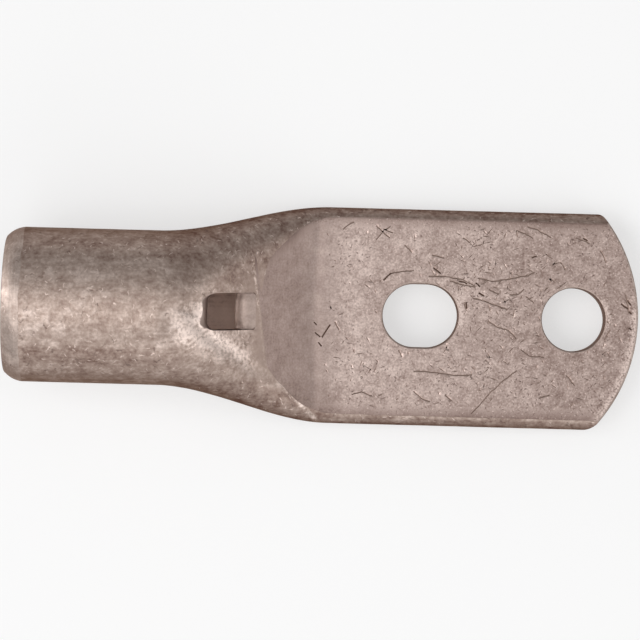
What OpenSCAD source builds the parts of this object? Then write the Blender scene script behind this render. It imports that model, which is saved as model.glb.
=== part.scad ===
// Tinned copper cable lug, made from one length of tube.
// The tube stays round at one end, where the cable is crimped. The other end
// is pressed flat into a palm, drilled for bolts and trimmed to an arc.
// X runs from the barrel to the palm, Y across the palm and Z up from the
// flat underside. The origin is under the middle of the lug.

/* [Tube] */
// Outside diameter of the tube
tube_od = 25.4; // [24:0.1:26.5]
// Wall thickness of the tube
wall = 3.2; // [2.8:0.1:3.5]
// Whole length of the lug, from mouth to tip
lug_len = 104.2; // [98:0.2:112]

/* [Barrel] */
// Length of tube that stays round, measured from the mouth
barrel_len = 25; // [20:0.5:28]
// Length of the chamfer outside the mouth
mouth_chamfer_len = 2.3; // [0.5:0.1:3]
// Depth of the chamfer outside the mouth
mouth_chamfer_depth = 1.3; // [0.3:0.1:1.8]
// Size of the small chamfer inside the mouth
mouth_lead_in = 0.4; // [0.2:0.1:0.8]
// Distance of the barrel's axis to one side of the palm's middle
barrel_side = 0.45; // [-1:0.05:1]

/* [Shoulder] */
// Length over which the tube widens and flattens
shoulder_len = 28; // [26:0.5:32]
// Slope of the face that the press leaves between shoulder and palm
ramp_angle = 37; // [33:1:40]
// Length of that face along the lug
ramp_len = 9.4; // [8:0.2:10.4]
// Distance of the bend at the palm from the end of the shoulder's flattening
bend_back = 1.8; // [1:0.1:2.5]
// Slope of the unpressed shoulder where it meets the pressed face
shoulder_slope = 44; // [38:1:50]
// Turn of the line where the pressed face starts, seen from above
crease_skew = 8; // [0:1:12]
// Depth of the pressed face's edge at that line
crease_depth = 0.15; // [0.05:0.05:0.4]

/* [Palm] */
// Thickness of the palm, which is two walls pressed together
palm_t = 6.2; // [5.6:0.1:6.6]
// Height that the press takes off the folded edges from above
coined = 0.55; // [0.3:0.05:0.8]
// Height that the press takes off them from below
coined_low = 0.1; // [0.05:0.05:0.3]
// Radius of the arc at the tip
tip_r = 27; // [22:0.5:34]
// Distance of the tip arc's centre to one side of the palm's middle
tip_side = 0.5; // [-1:0.1:1]
// Radius of the tip's corner on the +Y side
corner_r_left = 1.6; // [1:0.1:4]
// Radius of the tip's corner on the -Y side
corner_r_right = 3.4; // [1:0.1:4]
// Depth of the hairline between the two walls on the trimmed end
seam_depth = 0.25; // [0.1:0.05:0.4]
// Width of that hairline at the surface
seam_w = 0.2; // [0.1:0.05:0.4]

/* [Bolt holes] */
// Diameter of the round bolt hole and width of the slotted one
bolt_hole_d = 10.5; // [8.4:0.1:11]
// Length of the slotted hole, end to end
slot_len = 12.5; // [11.2:0.1:14]
// Distance between the middles of the two holes
hole_pitch = 25.4; // [24:0.1:27]
// Distance of the round hole's middle from the tip
hole_to_tip = 10.7; // [9:0.1:13]
// Distance of both holes to one side of the palm's middle
hole_side = 0.3; // [-0.6:0.1:0.6]

/* [Inspection hole] */
// Width of the hole across the shoulder
peep_w = 6.1; // [4:0.1:7]
// Length of the hole down the slope of the shoulder
peep_len = 10.1; // [7:0.1:10.5]
// Distance of the hole's middle from the mouth
peep_x = 37.15; // [36.5:0.05:37.5]
// Radius of the hole's corners
peep_corner_r = 1.5; // [0.5:0.1:1.8]
// Slope at which the pressed shoulder tilts the hole
peep_tilt = 66; // [52:1:68]
// Distance of the hole to one side of the palm's middle
peep_side = 0.15; // [-1:0.05:1]

/* [Hidden] */
$fn = 96;
tin = [0.69, 0.62, 0.58];

// Places along the lug, measured from the mouth
flat_x = barrel_len + shoulder_len;
bend_x = flat_x - bend_back;
crease_x = bend_x - ramp_len;
hole_x = lug_len - hole_to_tip;
slot_x = hole_x - hole_pitch;

// The palm before the press coins it. Flattening keeps the length of the
// wall's middle line, so the tube and the height give the width.
free_t = palm_t + coined + coined_low;
palm_w = (PI * tube_od - (PI - 2) * free_t) / 2;

// Loft of the shoulder
skin_points = 72;
skin_steps = 28;
cavity_points = 48;
cavity_steps = 15;
// Share of an oval in the shoulder's section, at the barrel and at the palm
swell_start = 0.14;
swell_end = 0.01;
// The lofts lap over the exact solids at their ends by this much, and sink
// into them a little further on
lap = 0.05;
sink = 1;
// Height of the hollow where the two walls close on each other
closed_gap = 0.5;
// Reach of cutting solids past what they cut
past = 1;
big = 60;

// Smooth step from 0 to 1
function ease(u) =
    let(t = min(max(u, 0), 1))
    t * t * (3 - 2 * t);

// Share of the flattening done at x, from 0 at the barrel to 1 at the palm
function done(x) = ease((x - barrel_len) / shoulder_len);

// Width of the lug at x, seen from above
function plan_w(x) = tube_od + (palm_w - tube_od) * done(x);

// Sideways place of the section's middle at x
function plan_side(x) = barrel_side * (1 - done(x));

// Height that the press face has above the palm, with a rounded foot
function ramp_rise(x, foot) =
    let(d = (bend_x - x) * tan(ramp_angle))
    (d + sqrt(d * d + foot * foot)) / 2;

// Height of the unpressed top from the crease to the palm
function low_top(x) =
    let(u = ease((x - crease_x) / (flat_x - crease_x)))
    palm_t + ramp_rise(x, coined) + crease_depth + (coined - crease_depth) * u;

// Height of the unpressed top from the barrel to the crease. It leaves the
// barrel level and reaches the crease at the shoulder's slope.
function high_top(x) =
    let(
        run = crease_x - barrel_len,
        u = (x - barrel_len) / run,
        drop = tube_od - low_top(crease_x)
    )
    tube_od - drop * ease(u) - run * tan(shoulder_slope) * (u * u * u - u * u);

function free_top(x) =
    x < barrel_len ? tube_od
    : x < crease_x ? high_top(x)
    : low_top(x);

// Height of the unpressed underside
function free_bottom(x) = lap / 2 - (coined_low + lap / 2) * done(x);

// Height of the hollow's roof, one wall under the pressed top
function roof(x) =
    let(
        top = x < crease_x ? free_top(x) : free_top(x) - crease_depth,
        slope = (free_top(x + 0.1) - free_top(x - 0.1)) / 0.2
    )
    top - wall * sqrt(1 + slope * slope);

// Where the hollow has closed, found by stepping back from the palm
function closing_x(x) = roof(x) - wall > closed_gap ? x : closing_x(x - 0.1);

// Share of an oval in the section at x, which swells the walls between the
// round edges a little. The rest is a bar with flat walls.
function swelling(x) = swell_end + (swell_start - swell_end) * (1 - done(x));

// One section of the flattened tube, as a ring of points at x. The points are
// spread evenly: each is known by its turn from the middle of the wall, which is
// travelled first along the flat and then round the edge.
function ring(x, width, bottom, top, side, count) =
    let(
        edge_r = (top - bottom) / 2,
        flat_half = width / 2 - edge_r,
        quarter = flat_half + edge_r * PI / 2
    )
    [
        for (i = [0 : count - 1])
            let(
                a = 360 * i / count,
                travelled = quarter * acos(abs(sin(a))) / 90,
                bent = max(travelled - flat_half, 0) / edge_r * 180 / PI,
                out = min(travelled, flat_half) + edge_r * sin(bent),
                bar_up = edge_r * cos(bent),
                oval_up = edge_r * sqrt(max(1 - pow(2 * out / width, 2), 0)),
                up = bar_up + swelling(x) * (oval_up - bar_up)
            )
            [x, side + sign(cos(a)) * out, bottom + edge_r + sign(sin(a)) * up]
    ];

function skin_ring(x, less) =
    ring(x, plan_w(x) - 2 * less, free_bottom(x) + less, free_top(x) - less,
         plan_side(x), skin_points);

function cavity_ring(x, less) =
    ring(x, plan_w(x) - 2 * (wall - lap) - 2 * less, wall - lap + less, roof(x) + lap - less,
         plan_side(x), cavity_points);

// A solid through rings with the same number of points
module loft(rings) {
    count = len(rings[0]);
    last = len(rings) - 1;
    points = [for (r = rings, p = r) p];
    sides = [
        for (k = [0 : last - 1], i = [0 : count - 1])
            let(
                j = (i + 1) % count,
                a = k * count + i,
                b = k * count + j,
                c = a + count,
                d = b + count
            )
            each [[a, c, d], [a, d, b]]
    ];
    start = [[for (i = [0 : count - 1]) i]];
    end = [[for (i = [count - 1 : -1 : 0]) last * count + i]];
    polyhedron(points = points, faces = concat(start, sides, end), convexity = 6);
}

// Round tube, with the chamfer outside its mouth
module barrel() {
    r = tube_od / 2 - lap;
    translate([0, barrel_side, tube_od / 2])
        rotate([0, 90, 0]) {
            cylinder(h = mouth_chamfer_len, r1 = r - mouth_chamfer_depth, r2 = r);
            translate([0, 0, mouth_chamfer_len])
                cylinder(h = barrel_len - mouth_chamfer_len, r = r);
        }
}

// Skin of the tube as it widens and flattens, before the press
module shoulder() {
    step = shoulder_len / skin_steps;
    loft([
        skin_ring(barrel_len - sink, sink),
        for (k = [0 : skin_steps]) skin_ring(barrel_len + k * step, 0),
        skin_ring(flat_x + sink, sink)
    ]);
}

// Flattened tube with folded edges, as one straight bar
module palm_bar() {
    edge_r = free_t / 2 - lap;
    edge_y = palm_w / 2 - lap - edge_r;
    bar_len = lug_len + past - flat_x;
    translate([flat_x, 0, free_t / 2 - coined_low]) {
        translate([0, -edge_y, -edge_r])
            cube([bar_len, 2 * edge_y, 2 * edge_r]);
        for (s = [-1, 1])
            translate([0, s * edge_y, 0])
                rotate([0, 90, 0])
                    cylinder(h = bar_len, r = edge_r);
    }
}

// What the press takes off the top: a level face over the palm and a sloping
// one that starts at a slightly turned line across the shoulder
module press() {
    translate([bend_x, -big / 2, palm_t])
        cube([lug_len, big, big]);
    intersection() {
        translate([bend_x, -big / 2, palm_t])
            rotate([0, ramp_angle, 0])
                translate([-big, 0, 0])
                    cube([big, big, big]);
        translate([crease_x, 0, 0])
            rotate([0, 0, crease_skew])
                translate([0, -big, 0])
                    cube([big, 2 * big, big]);
    }
}

// What the press takes off the bottom, level with the barrel's lowest line
module press_floor() {
    translate([-past, -big / 2, -big])
        cube([lug_len + 2 * past, big, big]);
}

// Everything beyond the tip's arc and its two rounded corners
module tip_trim() {
    arc_x = lug_len - tip_r;
    difference() {
        translate([arc_x, -big / 2, -past])
            cube([big, big, palm_t + 2 * past]);
        translate([arc_x, tip_side, -2 * past])
            cylinder(h = palm_t + 4 * past, r = tip_r, $fn = 180);
    }
    corner_trim(corner_r_left, 1);
    corner_trim(corner_r_right, -1);
}

// The sharp corner outside a round one that touches both edge and arc
module corner_trim(r, s) {
    arc_x = lug_len - tip_r;
    cy = s * (palm_w / 2 - r);
    cx = arc_x + sqrt(pow(tip_r - r, 2) - pow(cy - tip_side, 2));
    way = [cx - arc_x, cy - tip_side] / (tip_r - r);
    difference() {
        translate([0, 0, -past])
            linear_extrude(palm_t + 2 * past)
                polygon([
                    [cx, cy],
                    [cx, cy + 2 * s * r],
                    [cx, cy] + 2 * r * (way + [0, s]),
                    [cx, cy] + 2 * r * way
                ]);
        translate([cx, cy, -2 * past])
            cylinder(h = palm_t + 4 * past, r = r);
    }
}

// Fine groove round the trimmed end, where the two walls meet
module tip_seam() {
    translate([lug_len - tip_r, tip_side, palm_t / 2])
        rotate([0, 0, -40])
            rotate_extrude(angle = 80, $fn = 180)
                polygon([
                    [tip_r - seam_depth, 0],
                    [tip_r + seam_depth, -seam_w],
                    [tip_r + seam_depth, seam_w]
                ]);
}

// Bore for the cable, straight as far as the tube stays round
module bore() {
    r = tube_od / 2 - wall;
    translate([0, barrel_side, tube_od / 2])
        rotate([0, 90, 0]) {
            translate([0, 0, -past])
                cylinder(h = barrel_len + past, r = r);
            translate([0, 0, -past])
                cylinder(h = past + mouth_lead_in, r1 = r + past + mouth_lead_in, r2 = r);
        }
}

// Hollow beyond the bore, which narrows until the walls meet
module cavity() {
    end_x = closing_x(flat_x);
    step = (end_x - barrel_len) / cavity_steps;
    loft([
        cavity_ring(barrel_len - sink, sink),
        for (k = [0 : cavity_steps]) cavity_ring(barrel_len + k * step, 0)
    ]);
}

// Window in the shoulder that shows whether the cable is fully in
module inspection_hole() {
    w = peep_w / 2 - peep_corner_r;
    l = peep_len / 2 - peep_corner_r;
    depth = 2 * wall;
    translate([peep_x, peep_side, free_top(peep_x)])
        rotate([0, peep_tilt, 0])
            translate([0, 0, -depth]) {
                for (sx = [-1, 1], sy = [-1, 1])
                    translate([sx * l, sy * w, 0])
                        cylinder(h = 2 * depth, r = peep_corner_r);
                translate([-l, -peep_w / 2, 0])
                    cube([2 * l, peep_w, 2 * depth]);
                translate([-peep_len / 2, -w, 0])
                    cube([peep_len, 2 * w, 2 * depth]);
            }
}

// Hole through the palm for a bolt, drawn out by stretch along the lug
module bolt_hole(x, stretch) {
    h = palm_t + 2 * past;
    translate([x, hole_side, -past]) {
        for (s = stretch > 0 ? [-1, 1] : [0])
            translate([s * stretch / 2, 0, 0])
                cylinder(h = h, d = bolt_hole_d);
        if (stretch > 0)
            translate([-stretch / 2, -bolt_hole_d / 2, 0])
                cube([stretch, bolt_hole_d, h]);
    }
}

module lug() {
    color(tin)
        translate([-lug_len / 2, 0, 0])
            difference() {
                union() {
                    barrel();
                    shoulder();
                    palm_bar();
                }
                press();
                press_floor();
                tip_trim();
                tip_seam();
                bore();
                cavity();
                inspection_hole();
                bolt_hole(hole_x, 0);
                bolt_hole(slot_x, slot_len - bolt_hole_d);
            }
}

lug();
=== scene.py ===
# %% [markdown]
# # A tinned copper cable lug
#
# A cable lug is one length of copper tube. One end stays round and is crimped
# on a cable, the other is pressed flat into a palm and drilled for bolts. Then
# the whole lug is plated with tin. This lesson makes it the way the factory
# does: first the tube, then one cut for each tool that works on it. Each tool
# leaves its own finish on the faces that it makes.

# %% Load the fixed frame
import math
from functools import partial

import bmesh
import bpy
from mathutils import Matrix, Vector


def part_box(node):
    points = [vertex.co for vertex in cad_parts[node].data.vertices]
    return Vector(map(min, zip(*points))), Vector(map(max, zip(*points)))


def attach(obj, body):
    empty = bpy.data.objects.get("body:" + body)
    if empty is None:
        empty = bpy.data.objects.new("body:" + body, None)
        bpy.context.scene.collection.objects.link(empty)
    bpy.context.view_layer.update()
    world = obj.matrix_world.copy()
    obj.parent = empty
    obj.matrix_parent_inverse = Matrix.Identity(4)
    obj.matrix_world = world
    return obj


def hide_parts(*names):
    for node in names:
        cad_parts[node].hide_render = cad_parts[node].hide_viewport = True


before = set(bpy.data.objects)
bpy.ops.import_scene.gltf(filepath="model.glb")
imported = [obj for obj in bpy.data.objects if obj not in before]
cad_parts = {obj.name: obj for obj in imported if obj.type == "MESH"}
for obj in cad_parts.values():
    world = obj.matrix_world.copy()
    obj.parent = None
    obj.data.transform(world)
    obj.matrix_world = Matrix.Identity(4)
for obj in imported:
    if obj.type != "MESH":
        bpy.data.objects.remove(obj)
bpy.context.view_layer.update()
low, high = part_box("lug")
print("CAD box in mm:", [round(1000 * v, 2) for v in (*low, *high)])

# %% [markdown]
# ## Sizes
#
# The outer sizes come from the frame, and the others are the lug's own working
# sizes. They are written in millimetres and turned to metres by MM. Lengths
# along the lug are measured from its mouth, as a fitter would.

# %% Named sizes
MM = 0.001
MOUTH_X = low.x
LUG_LEN = high.x - low.x
TUBE_D = high.z - low.z
WALL = 3.2 * MM
PALM_T = 6.2 * MM

BARREL_LEN = 25 * MM
BARREL_SIDE = 0.45 * MM
FLAT_X = BARREL_LEN + 28 * MM
BEND_X = FLAT_X - 1.8 * MM
CREASE_X = BEND_X - 9.4 * MM
HOLLOW_END = 49.9 * MM

RAMP_SLOPE = math.tan(math.radians(37))
SHOULDER_SLOPE = math.tan(math.radians(44))
CREASE_SKEW = math.tan(math.radians(8))
CREASE_DEPTH = 0.15 * MM
TIP_R = 27 * MM
COINED = 0.55 * MM
COINED_LOW = 0.1 * MM

# Flattening keeps the length of the wall's middle line
PALM_W = (math.pi * TUBE_D - (math.pi - 2) * (PALM_T + COINED + COINED_LOW)) / 2
print("palm as flattened, mm:", round(PALM_W / MM, 2))


def along(x):
    """The place in the frame of a distance from the mouth."""
    return MOUTH_X + x


# %% [markdown]
# ## Helpers for node trees
#
# Geometry Nodes and materials are both node trees. One function adds a node,
# sets its properties and fills its inputs in order. A value that is itself a
# node or a socket becomes a link. A kind in capitals alone is an operation of
# the Math node, and a second word is a mode or an operation, as in "Mix RGBA".
# Settings with a capital letter are inputs by name.
#
# Another function starts a tree with named inputs. What the tree does is told by
# a rule, which gets the first function as add, tied to its tree. A third
# function runs a tree and hands back a plain mesh.

# %% Node helpers
SOCKETS = {
    float: "NodeSocketFloat",
    int: "NodeSocketInt",
    Vector: "NodeSocketVector",
    bpy.types.Material: "NodeSocketMaterial",
    bpy.types.Object: "NodeSocketObject",
}
FAMILIES = {
    "SHADER": ("ShaderNode",),
    "GEOMETRY": ("GeometryNode", "FunctionNode", "ShaderNode"),
}
# What a second word sets, where it isn't the operation
SECOND_WORDS = {
    "MapRange": "interpolation_type",
    "Mix": "data_type",
    "ResampleCurve": "mode",
    "SetCurveNormal": "mode",
}


def add_to(tree, kind, *values, **settings):
    """Adds a node. values fill its inputs in order, and capital names are inputs too."""
    kind, *words = ["Math", kind] if kind.isupper() else kind.split()
    family = next(f for f in FAMILIES[tree.type] if hasattr(bpy.types, f + kind))
    node = tree.nodes.new(family + kind)
    for word in words:
        setattr(node, SECOND_WORDS.get(kind, "operation"), word)
    named = {name: value for name, value in settings.items() if name[0].isupper()}
    for name in settings.keys() - named.keys():
        setattr(node, name, settings[name])
    sockets = [socket for socket in node.inputs if socket.enabled]
    pairs = [*zip(sockets, values)]
    pairs += [(node.inputs[name.replace("_", " ")], value) for name, value in named.items()]
    for socket, value in pairs:
        if isinstance(value, bpy.types.Node):
            value = next(result for result in value.outputs if result.enabled)
        if isinstance(value, bpy.types.NodeSocket):
            tree.links.new(value, socket)
        elif value is not None:
            socket.default_value = value
    return node


def new_tree(name, sizes, rule, results=("Geometry",), kind="GeometryNodeTree"):
    """A tree with named inputs, whose results a rule makes from them."""
    tree = bpy.data.node_groups.new(name, kind)
    for label, value in sizes.items():
        socket = tree.interface.new_socket(label, in_out="INPUT", socket_type=SOCKETS[type(value)])
        if not isinstance(value, bpy.types.ID):
            socket.default_value = value
    given = tree.nodes.new("NodeGroupInput").outputs
    add = partial(add_to, tree)
    made = rule(add, given)
    if "Geometry" in results:
        # The export needs every instance made real, and a material on it
        whole = add("RealizeInstances", made)
        made = [add("SetMaterial", whole, Material=given["Finish"])]
    end = tree.nodes.new("NodeGroupOutput")
    for label, node in zip(results, made):
        socket_type = "NodeSocketGeometry" if label == "Geometry" else "NodeSocketFloat"
        tree.interface.new_socket(label, in_out="OUTPUT", socket_type=socket_type)
        tree.links.new(node.outputs[0], end.inputs[label])
    print(f"{name}: {len(tree.nodes)} nodes")
    return tree


def run_tree(tree, name, **values):
    """Runs a geometry tree on an empty object and returns the result as a plain mesh."""
    host = bpy.data.objects.new(name, bpy.data.meshes.new(name))
    bpy.context.scene.collection.objects.link(host)
    modifier = host.modifiers.new(tree.name, "NODES")
    modifier.node_group = tree
    for socket in tree.interface.items_tree:
        key = socket.name.lower().replace(" ", "_")
        if socket.in_out == "INPUT" and key in values:
            modifier[socket.identifier] = values[key]
    seen = host.evaluated_get(bpy.context.evaluated_depsgraph_get())
    mesh = bpy.data.meshes.new_from_object(seen)
    host.modifiers.clear()
    host.data = mesh
    print(f"{name}: {len(mesh.vertices)} points, {len(mesh.polygons)} faces")
    return host


# %% [markdown]
# ## The rule of a flattened tube
#
# The press squeezes the round tube until its walls lie on each other. Along the
# shoulder each section is something between a circle and a flat bar with round
# edges. The width and the underside follow a smooth step, which Map Range
# gives. The top first falls steeply and then meets the press's ramp. Both rules
# are groups, so that the tube and the hollow in it can share them.

# %% Height of the tube's top


def press_face(add, x, foot_squared):
    """Height of the press face: level over the palm, and a ramp that rises from a round foot."""
    fall = add("MULTIPLY", add("SUBTRACT", BEND_X, x), RAMP_SLOPE)
    squared = add("MULTIPLY_ADD", fall, fall, foot_squared)
    rise = add("ADD", fall, add("SQRT", squared))
    return add("MULTIPLY_ADD", rise, 0.5, PALM_T)


def add_top_rule(add, given):
    """The height of the unpressed top at x."""
    x = given["X"]

    # Beyond the crease it stays a little above the press face, which then cuts it
    spare = add("MapRange SMOOTHSTEP", x, CREASE_X, FLAT_X, CREASE_DEPTH, COINED)
    low_top = add("ADD", press_face(add, x, COINED**2), spare)

    # The shoulder leaves the barrel level and falls to the crease
    crease_fall = (BEND_X - CREASE_X) * RAMP_SLOPE
    crease_top = PALM_T + CREASE_DEPTH + (crease_fall + math.hypot(crease_fall, COINED)) / 2
    gentle = add("MapRange SMOOTHSTEP", x, BARREL_LEN, CREASE_X, TUBE_D, crease_top)
    u = add("MapRange", x, BARREL_LEN, CREASE_X)
    uu = add("MULTIPLY", u, u)
    steep = add("SUBTRACT", add("MULTIPLY", uu, u), uu)
    run = (BARREL_LEN - CREASE_X) * SHOULDER_SLOPE
    high_top = add("MULTIPLY_ADD", steep, run, gentle)

    past_crease = add("GREATER_THAN", x, CREASE_X)
    return [add("Mix", past_crease, high_top, low_top)]


top_rule = new_tree("Tube top", {"X": 0.0}, add_top_rule, ["Height"])

# %% [markdown]
# A flattened tube is a bar with round edges at each place. Between the edges its
# upper wall sags a little, since nothing in the tube holds it up, and this gives
# the shoulder its two crests. Points are spread evenly round a section: the turn
# of a point from the middle is travelled first along the flat, then round the
# edge.

# %% One section
section_sizes = {
    "Cos": 0.0,
    "Sin": 0.0,
    "Width": TUBE_D,
    "Bottom": 0.0,
    "Top": TUBE_D,
    "Sag": 0.0,
    "Swell": 0.0,
}
LEAST_FLAT = 0.001 * MM


def add_section_rule(add, given):
    """Where a point of the unit circle comes to lie on the section."""
    cos, sin = given["Cos"], given["Sin"]
    tall = add("SUBTRACT", given["Top"], given["Bottom"])
    edge_r = add("MULTIPLY", tall, 0.5)
    half = add("MULTIPLY", given["Width"], 0.5)
    flat = add("SUBTRACT", half, edge_r)
    flat = add("MAXIMUM", flat, LEAST_FLAT)

    turn = add("ARCCOSINE", add("ABSOLUTE", sin))
    pace = add("MULTIPLY_ADD", flat, 2 / math.pi, edge_r)
    travelled = add("MULTIPLY", turn, pace)
    straight = add("MINIMUM", travelled, flat)
    rest = add("SUBTRACT", travelled, straight)
    angle = add("DIVIDE", rest, edge_r)
    around = add("SINE", angle)
    side = add("MULTIPLY_ADD", around, edge_r, straight)
    up = add("MULTIPLY", add("COSINE", angle), edge_r)

    # Near the barrel the walls still swell towards an oval of the same size
    out = add("DIVIDE", side, half)
    out = add("MULTIPLY_ADD", out, out, -1)
    inner = add("MAXIMUM", add("MULTIPLY", out, -1), 0)
    oval = add("MULTIPLY", add("SQRT", inner), edge_r)
    up = add("Mix", given["Swell"], up, oval)

    # The sag is a shallow arc from crest to crest, on the upper side only
    share = add("DIVIDE", straight, flat)
    share = add("MULTIPLY_ADD", share, share, -1)
    upper = add("GREATER_THAN", sin, 0)
    sag = add("MULTIPLY", given["Sag"], upper)
    up = add("MULTIPLY_ADD", share, sag, up)

    side = add("MULTIPLY", side, add("SIGN", cos))
    middle = add("ADD", given["Bottom"], edge_r)
    return side, add("MULTIPLY_ADD", up, add("SIGN", sin), middle)


section_rule = new_tree("Tube section", section_sizes, add_section_rule, ["Side", "Height"])

# %% [markdown]
# ## The tube
#
# A cylinder of radius 1 is the raw material. Its round position feeds the
# section rule, and its height runs along the lug. Tumbling in the plating drum
# leaves shallow dents all over, so a second Set Position moves each point a few
# hundredths of a millimetre inwards by noise. The hollow uses the same tree,
# one wall smaller and without dents.

# %% Tree for the tube and for its hollow
placeholder = bpy.data.materials.new("bare_copper")
tube_sizes = {
    "Start": 0.0,
    "End": LUG_LEN,
    "Rows": 200,
    "Points round": 168,
    "Wall": 0.0,
    "Sag": 0.0,
    "Swell": 0.0,
    "Dent depth": 0.0,
    "Dent size": 3 * MM,
    "Finish": placeholder,
}


def stepped(add, x, start, end):
    """A smooth step from one value to another along the shoulder."""
    return add("MapRange SMOOTHSTEP", x, BARREL_LEN, FLAT_X, start, end)


def hump(add, u):
    """A parabola over u from 0 to 1, with its top of 1 in the middle."""
    left = add("SUBTRACT", 4, add("MULTIPLY", u, 4))
    return add("MULTIPLY", u, left)


def dent(add, geometry, depth, size):
    """Moves the points of a surface inwards by noise, by up to depth."""
    scale = add("DIVIDE", 1, size)
    noise = add("TexNoise", Scale=scale, Detail=2)
    amount = add("MULTIPLY", noise, add("MULTIPLY", depth, -1))
    offset = add("VectorMath SCALE", add("InputNormal"), amount)
    return add("SetPosition", geometry, Offset=offset)


def add_tube_rule(add, given):
    """Bends a plain cylinder into the flattened tube, or into the hollow in it."""
    bar = add("MeshCylinder", given["Points round"], given["Rows"], Radius=1, Depth=1)
    cos, sin, height = add("SeparateXYZ", add("InputPosition")).outputs
    x = add("MapRange", height, -0.5, 0.5, given["Start"], given["End"])

    # The walls swell near the barrel, and the web sags between there and the press
    swell = add("MapRange", x, BARREL_LEN, BEND_X, given["Swell"], 0)
    u = add("MapRange", x, BARREL_LEN + 2 * MM, CREASE_X + 1.2 * MM)
    sag = add("MULTIPLY", hump(add, u), given["Sag"])
    outer_width = stepped(add, x, TUBE_D, PALM_W)
    width = add("MULTIPLY_ADD", given["Wall"], -2, outer_width)
    bottom = add("ADD", stepped(add, x, 0, -COINED_LOW), given["Wall"])

    # Under a sloping top, one wall reaches further down
    reach = 0.1 * MM
    top, ahead, behind = (
        add("Group", add("ADD", x, step), node_tree=top_rule)
        for step in (0.0, reach, -reach)
    )
    fall = add("SUBTRACT", ahead, behind)
    slope = add("DIVIDE", fall, 2 * reach)
    stretch = add("SQRT", add("MULTIPLY_ADD", slope, slope, 1))
    roof = add("SUBTRACT", top, add("MULTIPLY", stretch, given["Wall"]))

    section = (cos, sin, width, bottom, roof, sag, swell)
    side, height = add("Group", *section, node_tree=section_rule).outputs
    middle = stepped(add, x, BARREL_SIDE, 0.0)
    side = add("ADD", side, middle)
    in_frame = add("ADD", x, MOUTH_X)
    place = add("CombineXYZ", in_frame, side, height)
    tube = add("SetPosition", bar, Position=place)
    return dent(add, tube, given["Dent depth"], given["Dent size"])


tube_tree = new_tree("Flattened tube", tube_sizes, add_tube_rule)

# %% [markdown]
# ## Finishes
#
# Tin plating is a thin soft grey metal over pink copper. Under a lens it is
# never one tone: a film of oxide lies in clouds, and rubbing against other lugs
# in the plating drum leaves small marks. So each finish is built up in layers,
# and all sizes in it are millimetres on the real part.
#
# The marks come first. Space is divided into cells, and a share of them holds
# one short straight mark. It lies in the surface, at a random turn, and a mark is
# known by how far a point is from it along and across.

# %% Marks
mark_sizes = {
    "Place": Vector((0, 0, 0)),
    "Cell": 1.0,
    "Length": 0.6,
    "Width": 0.1,
    "Share": 0.5,
}
MIDDLE = Vector((0.5, 0.5, 0.5))  # of a noise's colours, and of random ones


def add_marks_rule(add, given):
    """How much a point lies on a short mark."""
    finer = add("DIVIDE", 1, given["Cell"])
    cells = add("VectorMath SCALE", given["Place"], finer)
    cell = add("TexVoronoi", cells, Scale=1)
    away = add("VectorMath SUBTRACT", cells, cell.outputs["Position"])
    away = add("VectorMath SCALE", away, given["Cell"])
    bend = add("TexNoise", given["Place"], Scale=1.6, Detail=2)
    bend = add("VectorMath SUBTRACT", bend.outputs["Color"], MIDDLE)
    bend = add("VectorMath SCALE", bend, given["Length"])
    away = add("VectorMath ADD", away, bend)

    normal = add("NewGeometry").outputs["Normal"]
    luck = cell.outputs["Color"]
    turned = add("VectorMath SUBTRACT", luck, MIDDLE)
    run = add("VectorMath CROSS_PRODUCT", turned, normal)
    run = add("VectorMath NORMALIZE", run)
    cross = add("VectorMath CROSS_PRODUCT", normal, run)
    far_along = add("ABSOLUTE", add("VectorMath DOT_PRODUCT", away, run))
    far_across = add("ABSOLUTE", add("VectorMath DOT_PRODUCT", away, cross))

    half = add("MULTIPLY", given["Length"], 0.5)
    core = add("MULTIPLY", half, 0.4)
    ends = add("MapRange", far_along, core, half, 1, 0)
    thin = add("MULTIPLY", given["Width"], 0.5)
    sides = add("MapRange", far_across, 0, thin, 1, 0)
    chance = add("SeparateColor", luck).outputs["Blue"]
    there = add("LESS_THAN", chance, given["Share"])
    mask = add("MULTIPLY", ends, sides)
    return [add("MULTIPLY", mask, there)]


marks = new_tree("Marks", mark_sizes, add_marks_rule, ["Mask"], kind="ShaderNodeTree")

# %% [markdown]
# One function makes a finish. Three noises add up to a tone: wide clouds of
# oxide, blotches, and a grain about as fine as the camera sees. A fourth noise
# is stretched into lines where a tool has wiped the metal. Where the sum is low
# the metal is tarnished, and where it is high the tin is rubbed bright. The
# same noises lift and sink the surface by a few hundredths of a millimetre. A
# look's layers are the four noises, each with its size in millimetres, its
# amount and its detail. Its nicks and scuffs are the sizes of the marks. What a
# finish doesn't say is taken from a plain face.
#
# The colour is laid on in coats, like paint: tin first, then tarnish, rubbed tin,
# scuffs, the grime in nicks, and last a painted shade that darkens faces seen
# edge-on, which Layer Weight follows.

# %% A tin finish


def to_linear(code):
    """An sRGB hex colour as linear numbers for a shader."""
    shares = [int(code[i : i + 2], 16) / 255 for i in (0, 2, 4)]
    return (*[s / 12.92 if s <= 0.04045 else ((s + 0.055) / 1.055) ** 2.4 for s in shares], 1.0)


EDGE_TINT = "8a766c"
GRIME = "4c3a33"
# Colour of the painted shade on faces seen edge-on
EDGE_SHADE_COLOUR = "4e3c36"
LAYERS = ("clouds", "blotches", "grain", "lines")
ELSEWHERE = Vector((31, 17, 5))  # so that scuffs don't lie where nicks do
PLAIN_FACE = {
    "stretch": Vector((0.05, 0.05, 1)),
    "roughness": 0.5,
    "grime": 0.6,
    "nicks": (2, 0.6, 0.15, 0.1),
    "scuffs": (2, 0.6, 0.15, 0.1),
    "relief": {"blotches": 0.02, "grain": 0.01},
}


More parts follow.
